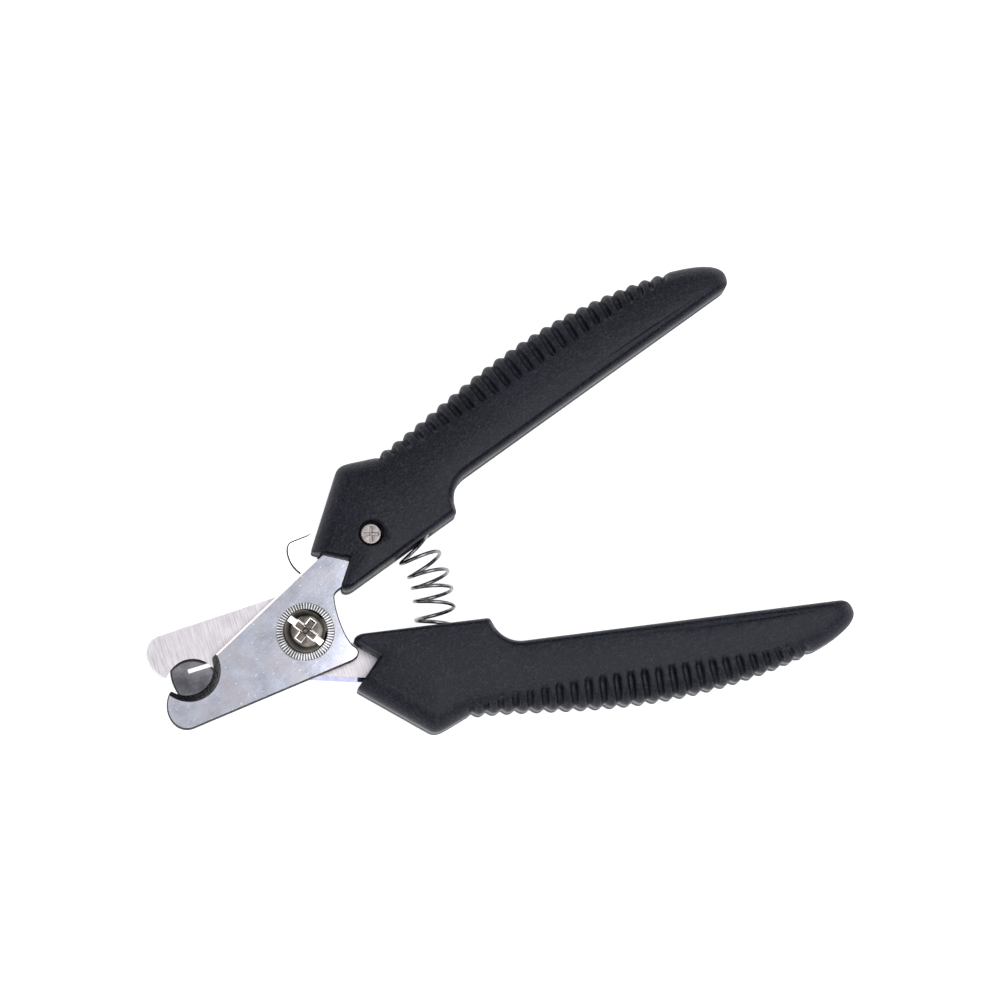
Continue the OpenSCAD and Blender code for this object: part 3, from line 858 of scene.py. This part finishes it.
def blade_mesh(name, material, side_material, edge_material, chamfer):
    """The front blade in place, its outline worn round. The rear one is the same turned over."""
    start = (MOUTH - STRAIGHT_LEN * TANG_DIR).tolist()
    rest = ([TIP_CORNER] + curve(NOSE_A, 14) + curve(NOSE_B, 18) + curve(LOBE, 18)
            + curve(REAR_SIDE, 16) + curve(SHOULDER, 10)
            + [tang_at(TANG_START, 0), tang_at(TANG_LEN - TANG_CORNER, 0),
               tang_at(TANG_LEN, TANG_CORNER), tang_at(TANG_LEN, TANG_W - TANG_CORNER),
               tang_at(TANG_LEN - TANG_CORNER, TANG_W)])
    full = [start] + rest + [MOUTH.tolist()]
    low = inset_loop(full, EDGE_WEAR)
    low[[0, -1]] = np.array(full)[[0, -1]] - chamfer * TANG_SIDE
    blade = stack(name, [low.tolist(), full, full, low.tolist()],
                  [0, chamfer, BLADE_T - chamfer, BLADE_T],
                  [material, side_material, edge_material], sharp=25)
    # Walls and chamfers take the side material, those along the straight edge the edge material:
    # on the front blade a painted shade and a painted highlight, on the rear blade zinc and a
    # painted bluish reflection.
    for face in blade.data.polygons:
        if abs(face.normal.z) < BLADE_FLAT:
            straight = face.normal.xy.normalized().dot(Vector(TANG_SIDE)) > STRAIGHT_EDGE
            face.material_index = 2 if straight else 1
    lean, lift = unit(NOTCH_LEANS_TO), NOTCH_LIFT
    slope = NOTCH_FLARE / BLADE_T
    # The notch wall takes the ground finish with its painted shade.
    notch = revolve("cut_notch", [(0, 0), (NOTCH_R - lift * slope, 0),
                                  (NOTCH_R + 2 * lift * slope, 3 * lift), (0, 3 * lift)],
                    [GROUND_SHADE_STEEL], segments=160)
    place(notch, Matrix.Translation((*NOTCH_AT, 0))
          @ Matrix.Rotation(NOTCH_LEAN, 4, Vector((-lean[1], lean[0], 0)))
          @ Matrix.Translation((0, 0, -lift)))
    hole = rod("cut_hole", PIVOT_D / 2 + RUN_FIT, -1, BLADE_T + 1, material)
    small = rod("cut_small", TANG_HOLE_R, -1, BLADE_T + 1, material, segments=48)
    place(small, Matrix.Translation((*SCREW_AT, 0)))
    carve(blade, [notch, hole, small], sharp=25)
    place(blade, Matrix.Translation((0, 0, BLADE_LOW)))
    return blade


def make_blades():
    turn = Matrix.Rotation(-BLADE_TURN, 4, "Z")
    front = place(blade_mesh("front_blade_steel", BLADE_STEEL, SHADED_WALL_STEEL, EDGE_HIGHLIGHT_STEEL,
                             EDGE_CHAMFER), turn)
    rear = place(blade_mesh("rear_blade_steel", INNER_STEEL, ZINC, BLUE_REFLECTION_EDGE, REAR_CHAMFER),
                 turn @ turned())
    soften(front, 0.05)
    soften(rear, 0.05)
    own_piece(front, "front_blade", "upper_half")
    own_piece(rear, "rear_blade", "lower_half")


# ---------------------------------------------------------------- pivot
RIM_SLOPE = 0.12
WING_TAPER = 0.12
RIM_NORMAL_Z = (0.9, 0.9999)
CONE_DEEP, CONE_OVER = 1.25, 0.35
CONE_TIP, CONE_MOUTH = 0.35, 1.1
PIVOT_CROSS = (4.3, 1.15, 1.0, 0.18)
HANDLE_CROSS = (2.7, 0.5, 0.45, 0.1)
DRIVE_ANGLE = math.radians(-59)
DRIVE_W = 1.2
DRIVE_DEEP = 0.62
PIVOT_END = 0.3
HEAD_STEPS = 12


def pan_profile(d, h, side=0.35, flat=0.3):
    """Half profile of a pan head from its underside to the top, from outside to the axis.

    The side is a share of the height, and the flat's radius a share of the diameter."""
    points = [(d / 2, 0.0)]
    for a in np.linspace(0, math.pi / 2, HEAD_STEPS):
        points.append(((flat + (0.5 - flat) * math.cos(a)) * d,
                       (side + (1 - side) * math.sin(a)) * h))
    return points + [(0.0, h)]


def cross_cutters(cross, top, angle, materials):
    """Two tapered wings and a cone, for a cross recess that opens at height top.

    The cross is its length, the width of its wings, its depth and the width of its rim. The
    materials are those of the recess and of the shallow rim around it; a rim colour brighter than
    the head's is a painted highlight on the rim's bevel."""
    size, wing, deep, rim = cross

    def box(grow):
        x, y = size / 2 + grow, wing / 2 + grow
        return [(-x, -y), (x, -y), (x, y), (-x, y)]

    cutters = []
    dip = rim * RIM_SLOPE
    for k in range(2):
        rings = [box(-wing * WING_TAPER), box(0), box(rim), box(rim)]
        wing_piece = stack("cut_wing", rings, [-deep, -dip, 0, 1], materials)
        for face in wing_piece.data.polygons:
            # Slightly sloped rim faces take the second material, which paints a highlight where it
            # is brighter than the head.
            face.material_index = int(RIM_NORMAL_Z[0] < abs(face.normal.z) < RIM_NORMAL_Z[1])
        place(wing_piece, Matrix.Translation((0, 0, top))
              @ Matrix.Rotation(angle + k * math.pi / 2, 4, "Z"))
        cutters.append(wing_piece)
    low, high = -deep * CONE_DEEP, CONE_OVER * deep
    cone = revolve("cut_cone", [(0, low), (wing * CONE_TIP, low), (wing * CONE_MOUTH, high),
                                (0, high)], materials[:1], segments=48)
    place(cone, Matrix.Translation((0, 0, top)))
    cutters.append(cone)
    return cutters


def make_pivot():
    top = HEAD_LOW + HEAD_H
    head = [(r, HEAD_LOW + z) for r, z in pan_profile(HEAD_D, HEAD_H)]
    shank = PIVOT_D / 2
    screw = revolve("pivot_screw_head", [(0, 0), (shank - PIVOT_END, 0), (shank, PIVOT_END),
                                         (shank, HEAD_LOW), *head], [SCREW_STEEL])
    slot = box_mesh("cut_slot", (-HEAD_D, -DRIVE_W / 2, -DRIVE_DEEP), (HEAD_D, DRIVE_W / 2, 2),
                    [SLOT_AND_RIM_HIGHLIGHT_STEEL])
    place(slot, Matrix.Translation((0, 0, top)) @ Matrix.Rotation(DRIVE_ANGLE, 4, "Z"))
    # The recess takes its painted shade and the rim the painted highlight of the slot colour.
    carve(screw, [slot] + cross_cutters(PIVOT_CROSS, top, DRIVE_ANGLE,
                                        [RECESS_SHADE_STEEL, SLOT_AND_RIM_HIGHLIGHT_STEEL]), sharp=32)
    soften(screw, 0.10)
    own_piece(screw, "pivot_screw", "lower_half")


def make_washer():
    teeth, per_tooth = 60, 6
    tooth_h = 0.25
    inner, step, outer = PIVOT_D / 2 + 0.1, HEAD_D / 2 - 0.05, 5.2
    columns = teeth * per_tooth
    angle = np.arange(columns) * 2 * math.pi / columns
    phase = (np.arange(columns) % per_tooth) / per_tooth
    dip = tooth_h * np.clip(1 - np.abs(2 * phase - 1) * 1.5, 0, 1)
    rows = [(inner, 0.0, 0.0), (inner, WASHER_T, 0.0), (step, WASHER_T, 0.0),
            (step + 0.22, WASHER_T, 1.0), (outer - 0.12, WASHER_T - 0.02, 1.0),
            (outer, WASHER_T - 0.14, 0.8), (outer, 0.08, 0.0), (outer - 0.08, 0.0, 0.0)]
    verts = []
    for radius, height, share in rows:
        verts += [(radius * math.cos(a), radius * math.sin(a), WASHER_LOW + height - share * d)
                  for a, d in zip(angle, dip)]
    faces = band_faces(len(rows), columns, closed=True)
    washer = object_from("knurled_washer_ring", verts, faces, [WASHER_STEEL], sharp=25)
    own_piece(washer, "knurled_washer", "lower_half")


def make_nut():
    flats, crown = 7.0, 0.35
    hexagon = [(flats / math.sqrt(3) * math.cos(a), flats / math.sqrt(3) * math.sin(a))
               for a in np.arange(6) * math.pi / 3]
    nut = stack("pivot_nut_hex", [hexagon, hexagon], [0, NUT_H], [ZINC])
    bore = rod("cut_bore", PIVOT_D / 2, -1, NUT_H + 1, ZINC)
    cone = revolve("keep_crown", [(0, -1), (flats / 2 - crown - 1, -1),
                                  (flats / 2 + 1.5 - crown, 1.5), (flats / 2 + 1.5, NUT_H + 1),
                                  (0, NUT_H + 1)], [ZINC], segments=96)
    carve(nut, [cone], sharp=30, operation="INTERSECT")
    carve(nut, [bore], sharp=30)
    soften(nut, 0.07)
    own_piece(nut, "pivot_nut", "lower_half")


def make_disc_spring():
    metal, outer, inner = 0.35, 4.2, PIVOT_D / 2 + 0.1
    disc = revolve("disc_spring_cone", [
        (inner, NUT_H + DISC_H - metal), (inner, NUT_H + DISC_H), (inner + 0.4, NUT_H + DISC_H),
        (outer, NUT_H + metal), (outer, NUT_H), (outer - 0.4, NUT_H)], [WIRE_STEEL])
    soften(disc, 0.06)
    own_piece(disc, "disc_spring", "lower_half")


# ---------------------------------------------------------------- guard
GUARD_WEAR = 0.25
GUARD_RING_R = 6.4
GUARD_SLOT_W, GUARD_SLOT_L = 0.85, 6.5
GUARD_SLOT_AT = (-21.8, 1.6)
GUARD_SLOT_TURN = math.radians(-4.3)
TAB_FROM = 9.4
TAB_BLEND = 0.8
TAB_MID = (4.6, 13.0)
TAB_TILT = math.radians(2.2)
TAB_FALL = math.radians(-40)


def guard_outline():
    ring = [[GUARD_RING_R * math.cos(a), GUARD_RING_R * math.sin(a)]
            for a in np.radians(np.arange(-62, 79, 7))]
    return (ring + [[3, 8.4], [5.4, 12.9], [8.2, 16.3]]
            + curve([[8.2, 16.6], [6, 16.6], [5, 16.6], [4.1, 16.6]], 4)
            + curve([[4.1, 16.6], [2.9, 16.6], [2.3, 15.4], [2.3, 13.6]], 12)
            + curve([[2.3, 13.6], [2.3, 12.2], [2.9, 11.2], [3.3, 10.5]], 8)
            + [[3.3, 10.5], [1.2, 7.4], [-2.4, 6.2], [-8, 5.4], [-21, 5]]
            + curve([[-22.4, 5], [-24, 4.8], [-24.9, 3.2], [-25.1, 1.2]], 12)
            + curve([[-25.1, 1.2], [-25.3, -1.2], [-24.6, -3.8], [-22.6, -4.9]], 14)
            + [[-22.6, -4.9], [-8, -4.9], [-2.6, -6]])


def twist_tab(guard):
    """The thumb tab is set a little out of the plate's plane, down towards the handle."""
    mesh = bmesh.new()
    mesh.from_mesh(guard.data)
    for y in (TAB_FROM, TAB_FROM + TAB_BLEND):
        bmesh.ops.bisect_plane(mesh, geom=mesh.verts[:] + mesh.edges[:] + mesh.faces[:],
                               plane_co=(0, y * MM, 0), plane_no=(0, 1, 0), dist=1e-8)
    for vert in mesh.verts:
        share = min(1.0, max(0.0, (vert.co.y / MM - TAB_FROM) / TAB_BLEND))
        across = ((vert.co.x / MM - TAB_MID[0]) * math.cos(TAB_FALL)
                  + (vert.co.y / MM - TAB_MID[1]) * math.sin(TAB_FALL))
        vert.co.z -= share * across * math.tan(TAB_TILT) * MM
    mesh.to_mesh(guard.data)
    mesh.free()


def make_guard():
    outline = guard_outline()
    x, y = np.array(outline).T
    behind_handle = (y > 8) & (x > 2.3 + 0.6 * (y - 8))
    worn = np.where(behind_handle[:, None], outline, inset_loop(outline, GUARD_WEAR))
    guard = stack("guard_plate_steel", [worn.tolist(), outline, outline, worn.tolist()],
                  [GUARD_LOW, GUARD_LOW + GUARD_WEAR, GUARD_TOP - GUARD_WEAR, GUARD_TOP],
                  [GUARD_SHADE_STEEL], sharp=25)
    low, high = GUARD_LOW - 1, GUARD_TOP + 1
    hole = rod("cut_hole", PIVOT_D / 2 + RUN_FIT, low, high, GUARD_SHADE_STEEL)
    slot = box_mesh("cut_slot", (0, 0, low), (GUARD_SLOT_L, GUARD_SLOT_W, high), [GUARD_SHADE_STEEL])
    place(slot, Matrix.Translation((GUARD_SLOT_AT[0], GUARD_SLOT_AT[1] - GUARD_SLOT_W / 2, 0))
          @ Matrix.Rotation(GUARD_SLOT_TURN, 4, "Z"))
    carve(guard, [hole, slot], sharp=25)
    twist_tab(guard)
    guard.data.materials.append(SHADED_WALL_STEEL)
    guard.data.materials.append(TAB_HIGHLIGHT_STEEL)
    # Painted light on the guard: the tab's faces and its walls facing +X take the painted
    # highlight, other walls the painted shade of the walls, and the rest of the plate its painted
    # shade.
    for face in guard.data.polygons:
        on_tab = face.center.y > TAB_FROM * MM
        if abs(face.normal.z) > FLAT:
            face.material_index = 2 if on_tab else 0
        elif on_tab and face.normal.x > 0.3:
            face.material_index = 2
        else:
            face.material_index = 1
    soften(guard, 0.05)
    own_piece(guard, "guard_plate", "guard")


# ---------------------------------------------------------------- handle screws
def make_handle_screw(name, node, body, side):
    seat = SCREW_SEAT
    head_h, head_d, shank = 1.2, 4.1, 1.1
    reach = 4.0
    head = [(r, seat + z) for r, z in pan_profile(head_d, head_h, 0.7, 0.4)]
    screw = revolve(name, [(0, -reach - 0.4), (0.5, -reach - 0.4), (shank, -reach),
                           (shank, seat), *head], [NICKEL], segments=96)
    # The cross recess takes the painted shade; its rim keeps the head's own nickel.
    carve(screw, cross_cutters(HANDLE_CROSS, seat + head_h, math.radians(-21),
                               [RECESS_SHADE_NICKEL, NICKEL]), sharp=32)
    place(screw, Matrix.Translation((*SCREW_AT, 0)))
    in_handle(screw, side, side)
    soften(screw, 0.04)
    own_piece(screw, node, body)


# ---------------------------------------------------------------- return spring
def make_spring():
    seat_gap = WIRE_D / 2 + 0.03
    pocket_in = np.array([-math.sin(INNER_SLOPE), math.cos(INNER_SLOPE)])
    slide = np.array([HANDLE_SLIDE, 0])
    seat = pocket_mouth() + (POCKET_DEEP - seat_gap) * pocket_in
    upper = seat + slide
    lower = (seat - slide) * [1, -1]
    line = [lower, lower - BOW * pocket_in * [1, -1], upper - BOW * pocket_in, upper]
    length = np.linalg.norm(upper - lower)
    closed = 1 / TURNS
    flat_share = WIRE_D * 1.05 / length
    steps, sides = 48, 16
    u = np.linspace(0, 1, TURNS * steps + 1)

    def reached(v):
        mid = flat_share + (v - closed) / (1 - 2 * closed) * (1 - 2 * flat_share)
        return np.where(v < closed, v / closed * flat_share,
                        np.where(v > 1 - closed, 1 - (1 - v) / closed * flat_share, mid))

    def coil(v):
        s = reached(v)
        run = unit(bez_run(line, s))
        side = np.column_stack([run[:, 1], -run[:, 0], np.zeros(len(v))])
        turn = 2 * math.pi * TURNS * v[:, None]
        out = np.cos(turn) * side + np.sin(turn) * np.array([0, 0, 1])
        centre = np.column_stack([bez(line, s), np.full(len(v), MID)])
        return centre + (SPRING_D - WIRE_D) / 2 * out, out

    points, out = coil(u)
    step = 0.001
    run = unit(coil(np.minimum(1, u + step))[0] - coil(np.maximum(0, u - step))[0])
    other = unit(np.cross(run, out))
    verts, faces = [], []
    count = len(u)
    ends = (0.25, 0.6, 0.85)
    for i in range(count):
        near = min(i, count - 1 - i)
        radius = WIRE_D / 2 * (ends[near] if near < len(ends) else 1.0)
        for k in range(sides):
            a = 2 * math.pi * k / sides
            verts.append(points[i] + radius * (math.cos(a) * out[i] + math.sin(a) * other[i]))
    for i in range(count - 1):
        for k in range(sides):
            j = (k + 1) % sides
            faces.append((i * sides + k, (i + 1) * sides + k, (i + 1) * sides + j,
                          i * sides + j))
    faces.append(tuple(range(sides)))
    faces.append(tuple(reversed(range((count - 1) * sides, count * sides))))
    spring = object_from("return_spring_wire", verts, faces, [WIRE_STEEL], sharp=60)
    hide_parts("return_spring")
    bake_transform(spring)


# ---------------------------------------------------------------- studio
CAMERA_EYE = Vector((-56.4, -90.0, 999.3)) * MM
CAMERA_AIM = Vector((41.12, 9.32, 9.0)) * MM
CAMERA_ROLL = math.radians(21.38)
CAMERA_LENS = 201.3


def make_camera():
    """Looks almost straight down, from a little to the lower left, with +X rising to the right."""
    back = (CAMERA_EYE - CAMERA_AIM).normalized()
    along = (Vector((1, 0, 0)) - back * back.x).normalized()
    across = back.cross(along)
    right = along * math.cos(CAMERA_ROLL) - across * math.sin(CAMERA_ROLL)
    up = along * math.sin(CAMERA_ROLL) + across * math.cos(CAMERA_ROLL)
    data = bpy.data.cameras.new("camera")
    data.lens = CAMERA_LENS
    data.sensor_width = 36.0
    camera = bpy.data.objects.new("camera", data)
    camera.matrix_world = Matrix((
        (right.x, up.x, back.x, CAMERA_EYE.x), (right.y, up.y, back.y, CAMERA_EYE.y),
        (right.z, up.z, back.z, CAMERA_EYE.z), (0, 0, 0, 1)))
    bpy.context.scene.collection.objects.link(camera)
    bpy.context.scene.camera = camera


FLOOR_GLOW = 0.74
FLOOR_HALF = 4.0
FLOOR_Z = -0.00002


def make_floor():
    half, z = FLOOR_HALF, FLOOR_Z
    mesh = bpy.data.meshes.new("floor")
    mesh.from_pydata([(-half, -half, z), (half, -half, z), (half, half, z), (-half, half, z)],
                     [], [(0, 1, 2, 3)])
    floor = bpy.data.objects.new("floor", mesh)
    bpy.context.scene.collection.objects.link(floor)
    n = Nodes("white_paper")
    n.shader.inputs["Specular IOR Level"].default_value = 0.1
    fibre = n.noise(0.6, detail=4)
    n.colour(n.ramp(fibre, (0.93, 0.93, 0.935), (0.95, 0.95, 0.952)))
    n.rough(n.span(fibre, 0.8, 0.95))
    n.shader.inputs["Emission Color"].default_value = (1, 1, 1, 1)
    n.shader.inputs["Emission Strength"].default_value = FLOOR_GLOW
    n.bumps((fibre, 0.01))
    mesh.materials.append(n.material)


SKY_LEVELS = ((0.0, 0.95), (0.30, 0.72), (0.60, 0.46), (0.88, 0.10))


def make_world():
    """Pale at the horizon and dim overhead, so polished faces show dark beside the panels."""
    world = bpy.data.worlds.new("studio")
    bpy.context.scene.world = world
    world.use_nodes = True
    nodes, links = world.node_tree.nodes, world.node_tree.links
    height = nodes.new("ShaderNodeSeparateXYZ")
    links.new(nodes.new("ShaderNodeTexCoord").outputs["Generated"], height.inputs["Vector"])
    ramp = nodes.new("ShaderNodeValToRGB")
    while len(ramp.color_ramp.elements) < len(SKY_LEVELS):
        ramp.color_ramp.elements.new(0.5)
    for element, (at, level) in zip(ramp.color_ramp.elements, SKY_LEVELS):
        element.position = at
        element.color = (level, level, level, 1)
    links.new(height.outputs["Z"], ramp.inputs["Fac"])
    links.new(ramp.outputs["Color"], nodes["Background"].inputs["Color"])


PANEL_TINT = (0.94, 0.955, 1.0)
# Name, azimuth in degrees, near edge, depth, width and height in metres, and level.
PANELS = (("top_panel", 80, -0.17, 0.50, 0.5, 1.05, 1.0),
          ("side_panel", -40, 0.0, 0.70, 1.0, 1.0, 2.45))


def make_panel(name, azimuth, near, deep, wide, height, level):
    """A soft white panel overhead. Its near edge shows in the flat polished faces."""
    data = bpy.data.lights.new(name, "AREA")
    data.shape = "RECTANGLE"
    data.size, data.size_y = deep, wide
    data.energy = level * math.pi * deep * wide
    data.color = PANEL_TINT
    light = bpy.data.objects.new(name, data)
    out = near + deep / 2
    light.location = (out * math.cos(azimuth), out * math.sin(azimuth), height)
    light.rotation_euler = (0, 0, azimuth)
    bpy.context.scene.collection.objects.link(light)


def make_studio():
    make_camera()
    make_floor()
    make_world()
    for name, azimuth, *sizes in PANELS:
        make_panel(name, math.radians(azimuth), *sizes)
    scene = bpy.context.scene
    scene.view_settings.view_transform = "Standard"
    scene.view_settings.look = "None"
    scene.view_settings.exposure = 0.0


make_handles()
make_blades()
make_pivot()
make_washer()
make_nut()
make_disc_spring()
make_guard()
make_handle_screw("upper_screw_head", "upper_handle_screw", "upper_half", 1)
make_handle_screw("lower_screw_head", "lower_handle_screw", "lower_half", -1)
make_spring()
make_studio()
